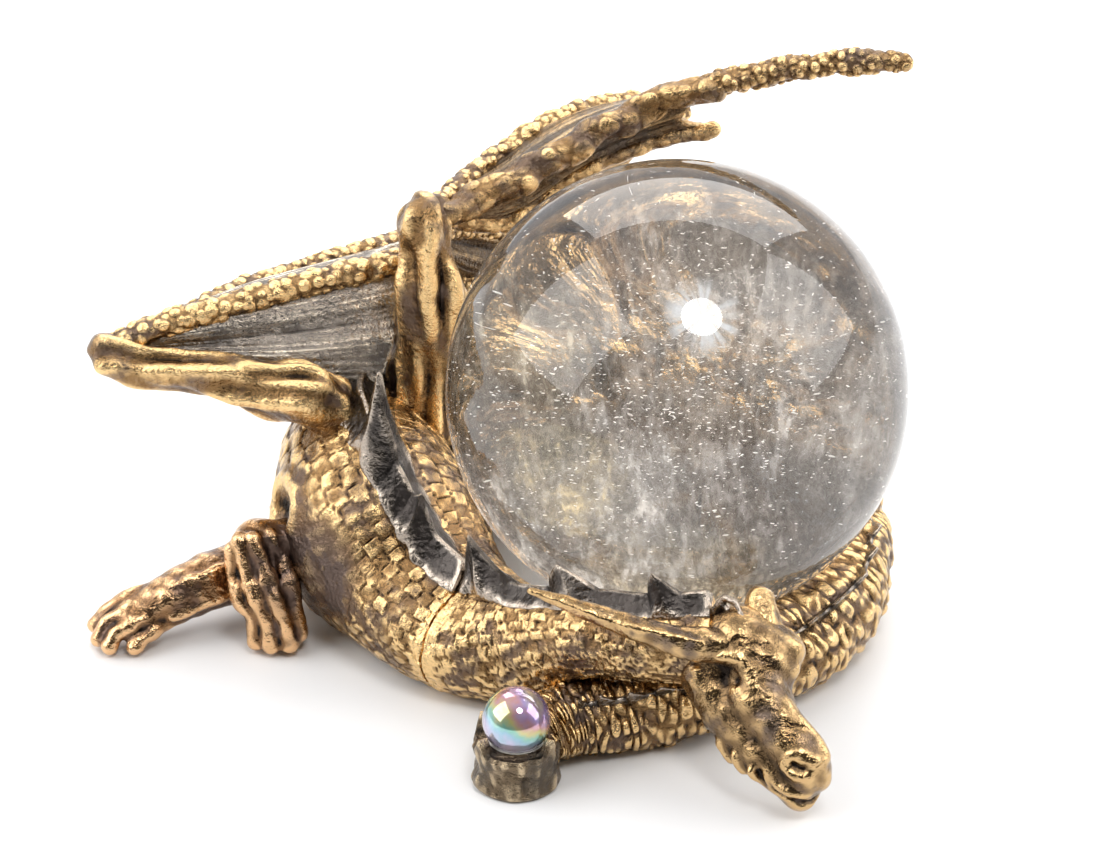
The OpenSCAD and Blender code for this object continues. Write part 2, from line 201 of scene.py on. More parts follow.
# The room's walls, as a ramp from front to back: 0 is in front and 1 is behind
DARK_WALL, DARK_UNTIL = (0.07, 0.065, 0.06, 1), 0.16
BRIGHT_WALL, BRIGHT_FROM = (0.86, 0.87, 0.9, 1), 0.56
world = bpy.data.worlds.new("room")
world.use_nodes = True
room = world.node_tree.nodes
direction = room.new("ShaderNodeTexCoord")
depth = room.new("ShaderNodeSeparateXYZ")
walls = room.new("ShaderNodeValToRGB")
front, back = walls.color_ramp.elements
front.position, front.color = DARK_UNTIL, DARK_WALL
back.position, back.color = BRIGHT_FROM, BRIGHT_WALL
half_turn = room.new("ShaderNodeMath")
half_turn.operation = "MULTIPLY_ADD"
half_turn.inputs[1].default_value = 0.5
half_turn.inputs[2].default_value = 0.5
wire = world.node_tree.links.new
wire(direction.outputs["Generated"], depth.inputs[0])
wire(depth.outputs["Y"], half_turn.inputs[0])
wire(half_turn.outputs[0], walls.inputs[0])
wire(walls.outputs[0], room["Background"].inputs["Color"])
bpy.context.scene.world = world
bpy.context.scene.view_settings.view_transform = "Standard"


# Antique gold. Thin gold plate on cast pewter, aged: bright where hands rub it, coppery on the
# slopes and nearly black in the recesses, partly as patina and partly as painted shade. The wear
# and painted shade come with each casting's own relief. The haunch above the raised paw is
# darkened with painted shade.
HAUNCH = AXIS + MM * np.array([-44.5, -7, 12])
HAUNCH_NEAR, HAUNCH_FAR = 4 * MM, 9 * MM


def aged_metal(name, tops, slopes, recess_patina_and_shade, tarnish_and_shade_tone, grain=0.35):
    finish = Finish(name, Metallic=1.0, IOR=1.5)
    # Painted shade: a patch on the haunch above the raised paw, darkened to the tarnish tone.
    painted_haunch_shade = 1.0 - finish.far(HAUNCH).between(HAUNCH_NEAR, HAUNCH_FAR)
    wear = finish.attribute("wear") + (finish.noise(1.7, 5.0) - 0.5) * 0.42
    patches = finish.noise(6.0, 4.0, 0.6)
    # Nearly black in the recesses: partly the patina of the hollows, partly painted shade.
    body = finish.mix(recess_patina_and_shade, slopes, wear.between(0.05, 0.4))
    body = finish.mix(body, tops, wear.between(0.46, 0.78))
    tarnish_and_shade_share = patches.between(0.46, 0.64, 0.0, 0.8) * (1 - wear.between(0.6, 0.85))
    # Adds the painted shade on the haunch to the real tarnish patches.
    tarnish_and_shade_share = tarnish_and_shade_share + painted_haunch_shade * 0.8
    body = finish.mix(body, tarnish_and_shade_tone, tarnish_and_shade_share)
    finish.feed(Base_Color=body, Roughness=wear.between(0.25, 0.75, 0.27, 0.13)
                + (finish.noise(0.7) - 0.5) * 0.16 + tarnish_and_shade_share * 0.14)
    finish.bump(finish.noise(grain, 4.0, 0.55) + finish.noise(grain * 6, 3.0) * 2, 0.24)
    return finish


antique_gold = aged_metal("antique_gold", (0.86, 0.59, 0.28), (0.24, 0.14, 0.06),
                          (0.02, 0.014, 0.01), (0.13, 0.094, 0.078), 0.5)
copper_gold = aged_metal("copper_gold", (0.8, 0.5, 0.26), (0.24, 0.13, 0.062),
                         (0.022, 0.018, 0.016), (0.15, 0.1, 0.078), 0.8)
brown_gold = aged_metal("brown_gold", (0.6, 0.4, 0.19), (0.19, 0.12, 0.06),
                        (0.02, 0.015, 0.012), (0.13, 0.1, 0.088), 0.9)
dark_silver = aged_metal("dark_silver", (0.42, 0.36, 0.3), (0.075, 0.066, 0.06),
                         (0.02, 0.018, 0.017), (0.055, 0.047, 0.043), 0.7)
grey_pewter = aged_metal("grey_pewter", (0.55, 0.43, 0.28), (0.17, 0.125, 0.08),
                         (0.025, 0.02, 0.015), (0.1, 0.085, 0.07), 0.4)


def unit(vectors):
    return vectors / np.maximum(np.linalg.norm(vectors, axis=-1, keepdims=True), 1e-9)


def along(points, share):
    """Points at shares, from 0 to 1, of the smooth curve through the given points."""
    points = np.array(points, float)
    last = len(points) - 1
    padded = np.vstack([2 * points[0] - points[1], points, 2 * points[-1] - points[-2]])
    at = np.clip(np.asarray(share, float), 0, 1) * last
    i = np.minimum(at.astype(int), last - 1)
    t = (at - i)[:, None]
    a, b, c, d = (padded[i + n] for n in range(4))
    return 0.5 * (2 * b + (c - a) * t + (2 * a - 5 * b + 4 * c - d) * t**2
                  + (3 * b - a - 3 * c + d) * t**3)


WAVE_COUNT, WAVE_SPREAD = 10, 3.2


def waves(points, size, seed):
    """Smooth noise, mostly from -1 to 1, whose lumps are about "size" across."""
    random = np.random.default_rng(seed)
    total = 0
    for turn in range(WAVE_COUNT):
        wave = unit(random.normal(size=points.shape[1])) * random.uniform(1.6, 4.4) / size
        total = total + np.sin(points @ wave + random.uniform(0, 6.28))
    return total / WAVE_SPREAD


CHANCES = 4096


def cells(points, size, seed, jitter=0.8, wrap=None):
    """Distance to the nearest and to the next cell's middle, in cells, and the cell's own chance.
    "wrap" is the number of cells after which the second coordinate starts again."""
    at = points / size
    home = np.floor(at).astype(int)
    table = np.random.default_rng(seed).random((CHANCES, points.shape[1] + 1))
    near = np.full(len(points), 9.0)
    next_near = near.copy()
    chance = near.copy()
    for step in np.ndindex(*[3] * points.shape[1]):
        cell = home + np.array(step) - 1
        names = cell.copy()
        if wrap:
            names[:, 1] %= wrap
        keys = (names @ np.array([73, 941, 3571][:points.shape[1]])) % CHANCES
        middle = cell + 0.5 + jitter * (table[keys, :-1] - 0.5)
        if points.shape[1] == 2:
            middle[:, 0] += 0.5 * (cell[:, 1] % 2)
            gap = (np.abs(at - middle)**3).sum(1)**(1 / 3)
        else:
            gap = np.linalg.norm(at - middle, axis=1)
        closer = gap < near
        next_near = np.where(closer, near, np.minimum(next_near, gap))
        chance = np.where(closer, table[keys, -1], chance)
        near = np.where(closer, gap, near)
    return near, next_near, chance


def rise(values, low, high):
    t = np.clip((values - low) / (high - low), 0, 1)
    return t * t * (3 - 2 * t)


WEAR_AND_SHADE_SCALES = (3, 11, 23)  # smoothing turns after which the relief is measured
EVEN_WEAR_AND_SHADE = 0.46


def worn_and_shaded(shape, gain):
    """Gives each point its wear and painted shade: 1 on tops and edges, 0 down in the recesses, which
    are darkened partly as patina and partly as painted shade.
    """
    points = np.array([v.co for v in shape.verts]) / MM
    normals = np.array([v.normal for v in shape.verts])
    ends = np.array([[v.index for v in e.verts] for e in shape.edges])
    count = np.zeros(len(points))
    np.add.at(count, ends.ravel(), 1)
    smooth = points.copy()
    high = 0
    for turn in range(WEAR_AND_SHADE_SCALES[-1] + 1):
        total = np.zeros_like(points)
        for axis in range(3):
            total[:, axis] = (np.bincount(ends[:, 0], smooth[ends[:, 1], axis], len(points))
                              + np.bincount(ends[:, 1], smooth[ends[:, 0], axis], len(points)))
        smooth = total / count[:, None]
        if turn in WEAR_AND_SHADE_SCALES:
            high = high + ((points - smooth) * normals).sum(1)
    layer = shape.verts.layers.float.new("wear")
    for v, value in zip(shape.verts, np.clip(EVEN_WEAR_AND_SHADE + gain * high, 0, 1)):
        v[layer] = value


def skin(name, rows, columns, place, finish, replaces=(), gain=0.8, body="dragon"):
    """A closed casting: place gives points for shares u along it and v round it. Its first and
    last rows close in one point."""
    shape = bmesh.new()
    bmesh.ops.create_grid(shape, x_segments=rows, y_segments=columns, size=0.5)
    shares = np.array([v.co[:2] for v in shape.verts]) + 0.5
    shares[:, 0] = np.round(shares[:, 0] * rows) / rows
    shares[:, 1] = (np.round(shares[:, 1] * columns) % columns) / columns
    for v, point in zip(shape.verts, AXIS + MM * place(shares[:, 0], shares[:, 1])):
        v.co = point
    bmesh.ops.remove_doubles(shape, verts=shape.verts, dist=1e-7)
    bmesh.ops.recalc_face_normals(shape, faces=shape.faces)
    shape.verts.index_update()
    worn_and_shaded(shape, gain)
    return piece(name, shape, finish, body, replaces)


# The coil: neck, torso and tail. Three pewter castings, pegged and soldered end to end, that
# wind once round the ball, which rests on their hollowed inner side. Middle, then half width
# outwards, half height and half width inwards.
CROSS_Z = 2 * 4.45 + 4.6 + 0.3
COIL = [
    (4, -27, CROSS_Z + 1.3, 4.8, 4.8, 4.8), (-3.6, -26, CROSS_Z + 0.4, 4.6, 4.6, 4.6),
    (-11, -23, CROSS_Z - 1, 4.8, 4.8, 4.8), (-18, -17.8, 8, 6.2, 6.8, 7.5),
    (-25, -12.5, 6.5, 8.6, 7, 10), (-32, -5.5, 7.8, 9.6, 8.8, 12.5),
    (-37, 2, 11, 11, 13.4, 13), (-38.6, 10, 12.6, 11.4, 14.4, 12),
    (-35, 20, 12.4, 11.4, 13, 8), (-25, 28.5, 12, 11.4, 12, 10),
    (-11, 31.8, 11.2, 11.6, 11.4, 11.4), (3, 31.4, 10.4, 12, 10.8, 10.8),
    (13.5, 25, 9.4, 10, 9.2, 9.2), (19, 17, 7.6, 7.6, 7.6, 7.4), (20.6, 9, 6.8, 6.7, 6.8, 6.7),
    (20.8, 1, 6.4, 6.4, 6.4, 6.4), (18.6, -7.6, 6, 6, 6, 6), (13, -14.6, 5.5, 5.5, 5.5, 5.5),
    (6.6, -20.4, 5, 5, 5, 5), (0, -24.6, 4.6, 4.6, 4.6, 4.6), (-7, -26.6, 4.4, 4.4, 4.4, 4.4),
    (-13, -28, 4.2, 4.2, 4.2, 4.2), (-17, -30.6, 3.9, 3.8, 3.9, 3.8),
    (-18.6, -33.2, 3.6, 3.6, 3.6, 3.6)]
NECK_END, TORSO_END, TAIL_END = 4, 12, 23
SEAT_GAP = 0.15


def coil_frame(stations):
    """Middle and half sizes of the coil at stations, and its heading, outward and upward ways."""
    middle = along(COIL, stations / TAIL_END)
    ahead = along(COIL, (stations + 0.05) / TAIL_END) - along(COIL, (stations - 0.05) / TAIL_END)
    heading = unit(ahead[:, :3])
    outward = unit(np.cross([0, 0, 1], heading))
    return middle, heading, outward, np.cross(heading, outward)


def clear_of_ball(points):
    """Presses points out of the seat, which is ground to the ball."""
    from_ball = points - [0, 0, BALL_Z]
    gap = np.linalg.norm(from_ball, axis=1)
    out = unit(from_ball) * np.maximum(gap, BALL_R + SEAT_GAP)[:, None]
    return out + [0, 0, BALL_Z]


def coil_piece(start, end, relief):
    """Places a length of the coil, with the relief that is given for stations, angles, places
    and ways out of the surface."""
    def place(u, v):
        stations = start + (end - start) * u
        middle, heading, outward, upward = coil_frame(stations)
        angle = 2 * math.pi * v
        wide = np.where(np.cos(angle) > 0, middle[:, 3], middle[:, 5])
        across = outward * (wide * np.cos(angle))[:, None]
        across = across + upward * (middle[:, 4] * np.sin(angle))[:, None]
        points = middle[:, :3] + across
        points = points + unit(across) * relief(stations, v, points)[:, None]
        points[:, 2] = np.maximum(points[:, 2], 0)
        closed = (u < 1e-6) | (u > 1 - 1e-6)
        return np.where(closed[:, None], middle[:, :3], clear_of_ball(points))
    return place


def near(points, middle, radius):
    return np.exp(-(np.linalg.norm(points - middle, axis=1) / radius)**2)


def scales(stations, v, across, round_count, tall, seed, jitter=0.35):
    """Plates in rows round the body: grooved all round, each one at a height of its own."""
    length = stations / across
    grid = np.column_stack([length, v * round_count])
    first, second, chance = cells(grid, 1.0, seed, jitter, round_count)
    return tall * rise(second - first, 0.0, 0.13) * (0.5 + chance)


SPIRAL = (-48.1, 1, 15.5)
SMOOTH_PATCHES = (((-44.5, -7, 11.5), 8), ((-48, 0, 18), 4.6))


def torso_relief(stations, v, points):
    outer = np.maximum(rise(np.cos(2 * math.pi * v), -0.25, 0.1),
                       rise(np.sin(2 * math.pi * v), 0.05, 0.3))
    high = rise(np.sin(2 * math.pi * v), -0.1, 0.45)
    bricks = scales(stations, v, 0.2, 30, 0.24, 5, 0.3)
    small = scales(stations, v, 0.17, 46, 0.26, 6, 0.8)
    plates = small + (bricks - small) * high
    smooth = np.maximum(*[near(points, middle, radius) for middle, radius in SMOOTH_PATCHES])
    smooth = rise(smooth, 0.3, 0.6)
    rough = 0.4 * waves(points, 3, 3) + 0.1 * waves(points, 1.2, 4)
    relief = outer * (1 - smooth) * plates + (1 - outer) * (0.5 + rough * 0.8)
    relief = relief + 0.2 * waves(points, 5, 7) + 0.07 * waves(points, 1.3, 14)
    hollow = np.linalg.norm(points - SPIRAL, axis=1)
    relief = relief - 0.8 * np.exp(-(hollow / 2)**2) + 0.7 * np.exp(-((hollow - 3.6) / 1.3)**2)
    relief = relief + 0.09 * np.sin(hollow * 11) * np.exp(-(hollow / 3.6)**4)
    return relief + 1.1 * near(points, [-46, -4, 11], 5)


def tail_relief(stations, v, points):
    grid = np.column_stack([stations / 0.16, v * 10])
    first, second, chance = cells(grid, 1.0, 11, 0.9, 10)
    folds = 0.34 * rise(second - first, 0.0, 0.45) * (0.4 + chance)
    folds = folds + 0.16 * waves(points, 1.1, 12) + 0.3 * waves(points, 4, 13)
    share = rise(stations, 11.9, 12.8)
    return share * folds + (1 - share) * torso_relief(stations, v, points)


skin("torso_casting", 440, 220, coil_piece(NECK_END, TORSO_END, torso_relief), antique_gold,
     ["torso"])
skin("neck_casting", 230, 130, coil_piece(0, NECK_END, torso_relief), antique_gold,
     ["neck"])
skin("tail_casting", 620, 130, coil_piece(TORSO_END, TAIL_END, tail_relief), antique_gold,
     ["tail"])

# Crests. Thin plates along the back, cast apart and let into it; oxidised silver with edges
# worn bright. Where each plate starts and ends, and its height as a share of the tallest.
NECK_PLATES = [(0.1, 0.9, 0.68), (1.3, 2.2, 0.7), (2.4, 4, 1)]
TORSO_PLATES = [(4, 5.5, 0.5), (5.6, 6.3, 1), (6.8, 8, 0.3), (8.1, 9.3, 0.3), (9.4, 10.6, 0.35),
                (10.7, 11.9, 0.35)]
TAIL_PLATES = [(s, s + 0.5, 1) for s in np.arange(TORSO_END, TAIL_END - 2, 0.5)]


def crest(start, end, plates, tall, turn, base_w, edge_w):
    """A row of hooked plates at angle "turn" round the coil."""
    turn = math.radians(turn)

    def place(u, v):
        stations = start + (end - start) * u
        middle, heading, outward, upward = coil_frame(stations)
        share = np.full(len(u), 0.25)
        for first, last, plate_h in plates:
            t = (stations - first) / (last - first)
            tooth = np.where(t < 0.72, (np.clip(t, 0, 1) / 0.72)**1.5,
                             np.sqrt(np.clip((1 - t) / 0.28, 0, 1)))
            share = np.maximum(share, plate_h * np.clip(tooth, 0, 1))
        tall_here = tall * share
        up = outward * math.cos(turn) + upward * math.sin(turn)
        side = outward * math.sin(turn) - upward * math.cos(turn)
        wide = np.where(math.cos(turn) > 0, middle[:, 3], middle[:, 5])
        foot = middle[:, :3] + outward * (wide * math.cos(turn))[:, None]
        foot = foot + upward * (middle[:, 4] * math.sin(turn))[:, None]
        loop = 2 * math.pi * v
        t = (1 - np.cos(loop)) / 2
        half = (edge_w + (base_w - edge_w) * (1 - t)**1.6) / 2
        half = half * np.sqrt(np.abs(np.sin(loop))) * np.sign(np.sin(loop))
        height = -0.7 + t * (tall_here + 0.7)
        lean = 0.3 * tall_here * np.clip(t, 0, 1)**2
        points = foot + up * height[:, None] + heading * lean[:, None]
        ribs = 0.08 * waves(np.column_stack([stations * 5, t * 1.2]), 0.9, 21)
        points = points + side * (half * (1 + ribs))[:, None]
        points = points + side * (0.12 * waves(points, 3, 22) * t)[:, None]
        closed = (u < 1e-6) | (u > 1 - 1e-6)
        return np.where(closed[:, None], foot, clear_of_ball(points))
    return place


skin("neck_crest_plates", 260, 40, crest(0, NECK_END, NECK_PLATES, 7, 90, 7, 1.0),
     dark_silver, ["neck_crest"], 0.8)
skin("torso_crest_plates", 420, 40, crest(NECK_END, TORSO_END, TORSO_PLATES, 11, 90, 9, 1.1),
     dark_silver, ["torso_crest"], 0.8)
skin("tail_crest_plates", 500, 24, crest(TORSO_END, TAIL_END - 2, TAIL_PLATES, 2.2, 54, 1.6, 0.5),
     dark_silver, ["tail_crest"], 0.8)


# Head, horns and legs. Each is cast from a wax built up of balls and rolls, smoothed together
# and then tooled: ridges are laid on it and lines are cut in.
def rolls(shape, points):
    """Adds rolls from ball to ball along points of x, y, z and radius."""
    for pair in zip(points[:-1], points[1:]):
        roll = bmesh.new()
        for x, y, z, radius in pair:
            at = Vector(AXIS + MM * np.array([x, y, z]))
            bmesh.ops.create_icosphere(roll, subdivisions=3, radius=radius * MM,
                                       matrix=Matrix.Translation(at))
        hull = bmesh.ops.convex_hull(roll, input=roll.verts[:])
        loose = {g for g in hull["geom_interior"] + hull["geom_unused"]
                 if isinstance(g, bmesh.types.BMVert)}
        bmesh.ops.delete(roll, geom=list(loose), context="VERTS")
        solid = bpy.data.meshes.new("roll")
        roll.to_mesh(solid)
        roll.free()
        shape.from_mesh(solid)
        bpy.data.meshes.remove(solid)


def soften(shape, turns):
    for turn in range(turns):
        bmesh.ops.smooth_vert(shape, verts=shape.verts, factor=0.5, use_axis_x=True,
                              use_axis_y=True, use_axis_z=True)


def wax(name, groups, grain, softness, tooling, finish, replaces, gain=1.0):
    """Melts rolls into one body, tools it and casts it. "tooling" is a list of ridges, or of
    cuts where the height is below 0: points, width and height."""
    shape = bmesh.new()
    for points in groups:
        rolls(shape, points)
    rough = piece(name + "_wax", shape, finish)
    remesh = rough.modifiers.new("melt", "REMESH")
    remesh.mode = "VOXEL"
    remesh.voxel_size = grain * MM
    melted = rough.evaluated_get(bpy.context.evaluated_depsgraph_get()).to_mesh()
    shape = bmesh.new()
    shape.from_mesh(melted)
    bpy.data.objects.remove(rough)
    soften(shape, softness)
    points = (np.array([v.co for v in shape.verts]) - AXIS) / MM
    for path, width, height in tooling:
        shape.normal_update()
        normals = np.array([v.normal for v in shape.verts])
        line = along(path, np.linspace(0, 1, 12 * len(path))) if len(path) > 1 else np.array(path)
        gap = np.min(np.linalg.norm(points[:, None, :] - line[None, :, :3], axis=2), axis=1)
        points = points + normals * (height * np.exp(-(gap / width)**2))[:, None]
        for v, point in zip(shape.verts, AXIS + MM * points):
            v.co = point
    soften(shape, 2)
    points = (np.array([v.co for v in shape.verts]) - AXIS) / MM
    shape.normal_update()
    normals = np.array([v.normal for v in shape.verts])
    points = points + normals * (0.07 * waves(points, 1.2, 31))[:, None]
    points[:, 2] = np.maximum(points[:, 2], 0)
    for v, point in zip(shape.verts, AXIS + MM * clear_of_ball(points)):
        v.co = point
    shape.normal_update()
    shape.verts.index_update()
    worn_and_shaded(shape, gain)
    return piece(name, shape, finish, "dragon", replaces)


cranium = [(6.6, -29.6, 16.2, 4.5), (9.2, -30.6, 15.0, 4.3)]
muzzle = [(8.4, -34.2, 12.2, 3.9), (11, -38, 9.8, 3.1), (13.6, -40.6, 7.4, 3), (14.2, -40.9, 6, 2.8)]
jaw = [(4.4, -31.4, 9.6, 2.6), (7.4, -35.2, 8, 2.7), (11, -38.8, 5, 2.4), (13.4, -40.9, 3.2, 2.3)]
cheek = [(3.4, -31, 12.6, 3.7), (5.8, -33.6, 9.8, 3.8), (9.2, -37.2, 6.8, 3.5), (12.8, -40.6, 4.6, 2.8)]
lip_loops = [[(3.4, -33.6, 7.6), (4.4, -35.2, 5.8)], [(5.4, -36.2, 7.6), (6.6, -37.2, 5.6)],
             [(7, -38, 7.2), (7.8, -38.8, 5.2)], [(8.6, -39.9, 6.2), (9.2, -40.4, 4.2)],
             [(9.6, -41.2, 5), (10.2, -41.6, 3.4)]]
head_tooling = [
    ([(2.6, -32.6, 16.4), (4, -33, 16.8), (6.2, -33.6, 16.9), (7.6, -34.4, 15.9)], 0.9, 1.0),
    ([(8.6, -33, 16.8), (10.4, -33, 16.2), (12, -33, 14.6)], 0.9, 1.2),
    ([(12.8, -31, 16.1)], 1.8, 1.0),
    ([(7.8, -35.2, 15)], 0.8, 0.5), ([(10.3, -35.5, 14)], 0.9, 0.6),
    ([(2.2, -33, 14.8), (3.4, -33.6, 13.8), (4.6, -34.4, 13.4)], 1.2, -0.5),
    ([(6.2, -35.2, 14.6), (7.3, -35.9, 14.2), (8.2, -36.3, 13.6)], 0.7, -1.1),
    ([(1.6, -32.9, 14.4), (2.4, -33.6, 12.6), (3.2, -34.4, 11.6), (4.6, -35, 11.6)], 0.45, 0.5),
    ([(9.4, -36, 13.4), (12.2, -38.2, 12), (14.6, -40, 9.9), (16, -41.6, 8.6)], 0.9, 0.55),
    ([(12.2, -42.6, 8.2), (13.4, -43, 7.9)], 0.62, -1.3),
    ([(11.4, -42, 8.1), (11.9, -42, 9), (13.2, -42, 9.3), (14.6, -42.2, 8.5)], 0.6, 0.6),
    ([(11.5, -42.2, 7.6), (12.4, -43, 6.9), (13.8, -43.2, 7)], 0.5, 0.5),
    ([(10.2, -42, 4.2), (12.3, -43.2, 3.7), (13.8, -43, 3.1), (15.6, -42, 2.8)], 0.32, -0.9),
    ([(10.4, -42.2, 5), (12.4, -43.4, 4.6), (14.2, -43.4, 4.2)], 0.5, 0.4)]
for loop in lip_loops:
    head_tooling.append((np.array(loop) + [-0.9, -0.6, -0.2], 0.5, 0.9))
    head_tooling.append(([np.array(p) + [-0.1, -1, -0.3] for p in loop], 0.4, -0.7))
wax("head_casting", [cranium, [cranium[1], muzzle[0]], muzzle, jaw, cheek,
                     [(4.4, -31.4, 12, 3.2), (4.4, -31.4, 9.6, 2.6)]],
    0.24, 5, head_tooling, brown_gold, ["head"])
wax("right_horn_casting", [[(5.6, -31.4, 16.8, 2.4), (0, -32.4, 18, 1.9), (-5, -31.6, 19.2, 1.5),
                            (-10.7, -29.6, 20.4, 1.15), (-17.6, -27.6, 22, 0.5)]],
    0.24, 4, [([(2, -33.8, 19), (-8, -32, 20.6), (-15, -29, 22)], 0.4, 0.25)],
    brown_gold, ["right_horn"])
wax("left_horn_casting", [[(9.4, -29, 17.4, 2.4), (9, -26.6, 20, 1.8)]],
    0.24, 4, [([(10, -30.6, 18), (10.4, -28.6, 20.6)], 0.5, 0.3)],
    brown_gold, ["left_horn"])

raised_bones = [
    [(-54.4, -4.1, 12.8), (-54.4, -4.7, 10.1), (-53.5, -6.2, 7), (-51.9, -7.3, 5.4), (-51.7, -7.4, 1.7)],
    [(-53.4, -4.1, 14.2), (-52.3, -6.2, 9.9), (-51.4, -7.2, 8), (-50.1, -8.1, 4.6), (-49.6, -8.2, 1.6)],
    [(-51.7, -4.2, 14.3), (-50, -6.4, 10.2), (-49, -7.4, 7.8), (-47.9, -8.1, 4.6), (-47.6, -8.1, 1.6)],
    [(-49.9, -2.8, 14.1), (-47.8, -4.2, 10.6), (-47.3, -5.8, 9.2), (-46.8, -6.7, 6.4),
     (-46.4, -6.8, 2.6)]]
wax("brow_blade_casting", [[(3.4, -28, 19, 0.5), (4.8, -28, 21.4, 0.45), (6, -29, 21.3, 0.4),
                            (7.6, -31.6, 19.2, 0.4)],
                           [(4.6, -28.4, 19, 0.6), (7.2, -31, 18, 0.6)],
                           [(4.8, -28.2, 20.2, 0.5), (6.8, -30.4, 19, 0.5)]],
    0.2, 2, [], dark_silver, [])
wax("raised_foreleg_casting",
    [[(-47, -0.6, 12, 2.8), (-51.6, -1.6, 12.4, 3)], [(-51.6, -2.6, 12.6, 2.5), (-50.6, -5, 6.6, 2.4)],
     [(-50.6, -5, 6.6, 2.3), (-49.2, -6.4, 2.6, 1.9)]]
    + [[(*p, r) for p, r in zip(bone, (1.15, 0.95, 1.3, 1.0, 1.3))] for bone in raised_bones],
    0.26, 2, [([(-52.6, -5.6, 11), (-51.6, -7, 7.6)], 0.4, -0.3),
              ([(-51.2, -5.6, 11.6), (-50.2, -7.2, 7.4)], 0.4, -0.3),
              ([(-49.4, -4.8, 12), (-48.4, -6.4, 7.8)], 0.4, -0.3),
              ([(-53.6, -5.6, 8.6), (-51.4, -6.8, 9.4), (-50, -6.6, 10.2), (-48.1, -4.6, 10.8)],
               0.8, 0.55)],
    copper_gold, ["raised_foreleg"])
resting_bones = [
    [(-61.4, -1.6, 6.8), (-65.6, -2.2, 5.6), (-67.8, -3, 5), (-70.6, -3.6, 3.4), (-71.9, -4, 1.7)],
    [(-61.4, -3.2, 6), (-65.4, -4.4, 5), (-67.4, -5, 4.6), (-70.2, -5.8, 3.2), (-71.2, -6.6, 1.5)],
    [(-60.8, -4, 5), (-64.4, -5.6, 4.2), (-66.8, -6.6, 3.7), (-69, -7.6, 2.7), (-69.7, -8.2, 1.4)],
    [(-60.6, -3.8, 3.4), (-62.6, -4.8, 2.8), (-64.4, -6.2, 2.6), (-66, -7.6, 2), (-66.6, -8.2, 1.3)]]
wax("resting_foreleg_casting",
    [[(-48.6, 3.8, 5.4, 3), (-53.2, 2.6, 6, 3.8), (-58, -0.4, 5.8, 3.7), (-62.6, -2.8, 4.8, 3.3)],
     [(-62.6, -2.8, 4.8, 3.1), (-67.4, -4.8, 3.2, 2.5)]]
    + [[(*p, r) for p, r in zip(bone, (1.0, 0.95, 1.3, 1.0, 1.2))] for bone in resting_bones],
    0.26, 2, [([(-54, -0.6, 9), (-58, -2.8, 8.4), (-62, -4, 7.4)], 0.6, 0.5),
              ([(-52, -1.2, 6), (-57, -4, 5), (-62, -6, 4)], 0.6, 0.5)],
    copper_gold, ["resting_foreleg"])
wax("outer_hind_leg_casting",
    [[(12, 38, 6.6, 3.6), (14, 43, 7, 3.4), (10, 45.4, 4.8, 2.9), (3, 47.6, 3.4, 2.5),
      (-3, 48.4, 3, 2.3)]]
    + [[(-3, 48.4, 3.4, 1.5), (x + 4, y * 0.7 + 14.6, 2.7, 1.3), (x, y, 1.4, 1)]
       for x, y in ((-11, 46.4), (-12, 49), (-11, 51.4))],
    0.3, 3, [], copper_gold, ["outer_hind_leg"])
wax("inner_hind_leg_casting",
    [[(4, 20.4, 5, 2.6), (3, 17, 3.6, 2.4), (-1, 15.6, 2.8, 2.2), (-6, 15.6, 2.4, 2)]]
    + [[(-6, 15.6, 2.6, 1.4), (x + 3, y * 0.7 + 4.8, 2.3, 1.2), (x, y, 1.3, 0.9)]
       for x, y in ((-13, 13.4), (-13.4, 15.8), (-12.4, 18))],
    0.3, 3, [], copper_gold, ["inner_hind_leg"])


# Wings. The bones are cast rods, lumpy at the arm and grained with small beads further out;
# the sheets between them are thin castings with fine hair lines that fan from the wrist.
def rod(points, lump, lump_h, seed, drips=0.0, flow=(1, 1, 0.22)):
    """A rod through points of x, y, z and radius, covered in nuggets of about "lump" across."""
    reach = len(points) - 1

    def place(u, v):
        middle = along(points, u)
        heading = unit((along(points, u + 0.1 / reach) - along(points, u - 0.1 / reach))[:, :3])
        side = unit(np.cross([0, 1, 0], heading))
        top = np.cross(heading, side)
        angle = 2 * math.pi * v
        way = side * np.cos(angle)[:, None] + top * np.sin(angle)[:, None]
        end = np.sqrt(np.clip(1 - (2 * np.abs(u - 0.5))**24, 0, 1))
        points_here = middle[:, :3] + way * middle[:, 3:4] * end[:, None]
        first, second, chance = cells(points_here, lump, seed)
        nugget = np.sqrt(np.clip(1 - (first / 0.62)**2, 0, 1)) * (0.5 + 0.7 * chance)
        ridges = waves(points_here * flow, 1.5, seed + 1)
        relief = lump_h * nugget + drips * ridges + 0.12 * waves(points_here, 2.5, seed + 2)
        return points_here + way * (relief * end)[:, None]
    return place


left_wrist = (-30.6, 14, 49.7)
left_arm = [(-32, 14, 17, 4.6), (-31, 14, 28, 4.3), (-30.4, 14, 34, 3.9), (-30.2, 13.5, 40, 4),
            (-30.3, 14, 45, 3.3), (-30.6, 14, 49.7, 3.3), (-30.4, 14, 52.6, 1.2)]
skin("left_arm_casting", 260, 110, rod(left_arm, 3.4, 0.12, 41, 0.65), antique_gold,
     ["left_wing_bones"])
skin("left_lead_bone_casting", 330, 90,
     rod([(-32.4, 13.2, 48, 2.2), (-26.4, 16.4, 49.9, 1.7), (-20.7, 18.5, 51.6, 1.7),
          (-10, 22, 57, 1.65), (-0.8, 24, 60.6, 1.6), (6.5, 24, 63, 1.5)],
         2.4, 0.35, 44, 0.3, (0.3, 1, 0.7)),
     antique_gold)
skin("left_free_bone_casting", 260, 80,
     rod([(4.4, 24, 62.2, 1.4), (6.5, 24, 63, 1.45), (14.6, 23.5, 65.1, 1.35),
          (24.4, 22.5, 66.4, 1.3), (28.9, 21.5, 66.5, 0.9)], 1.15, 0.42, 47),
     antique_gold)
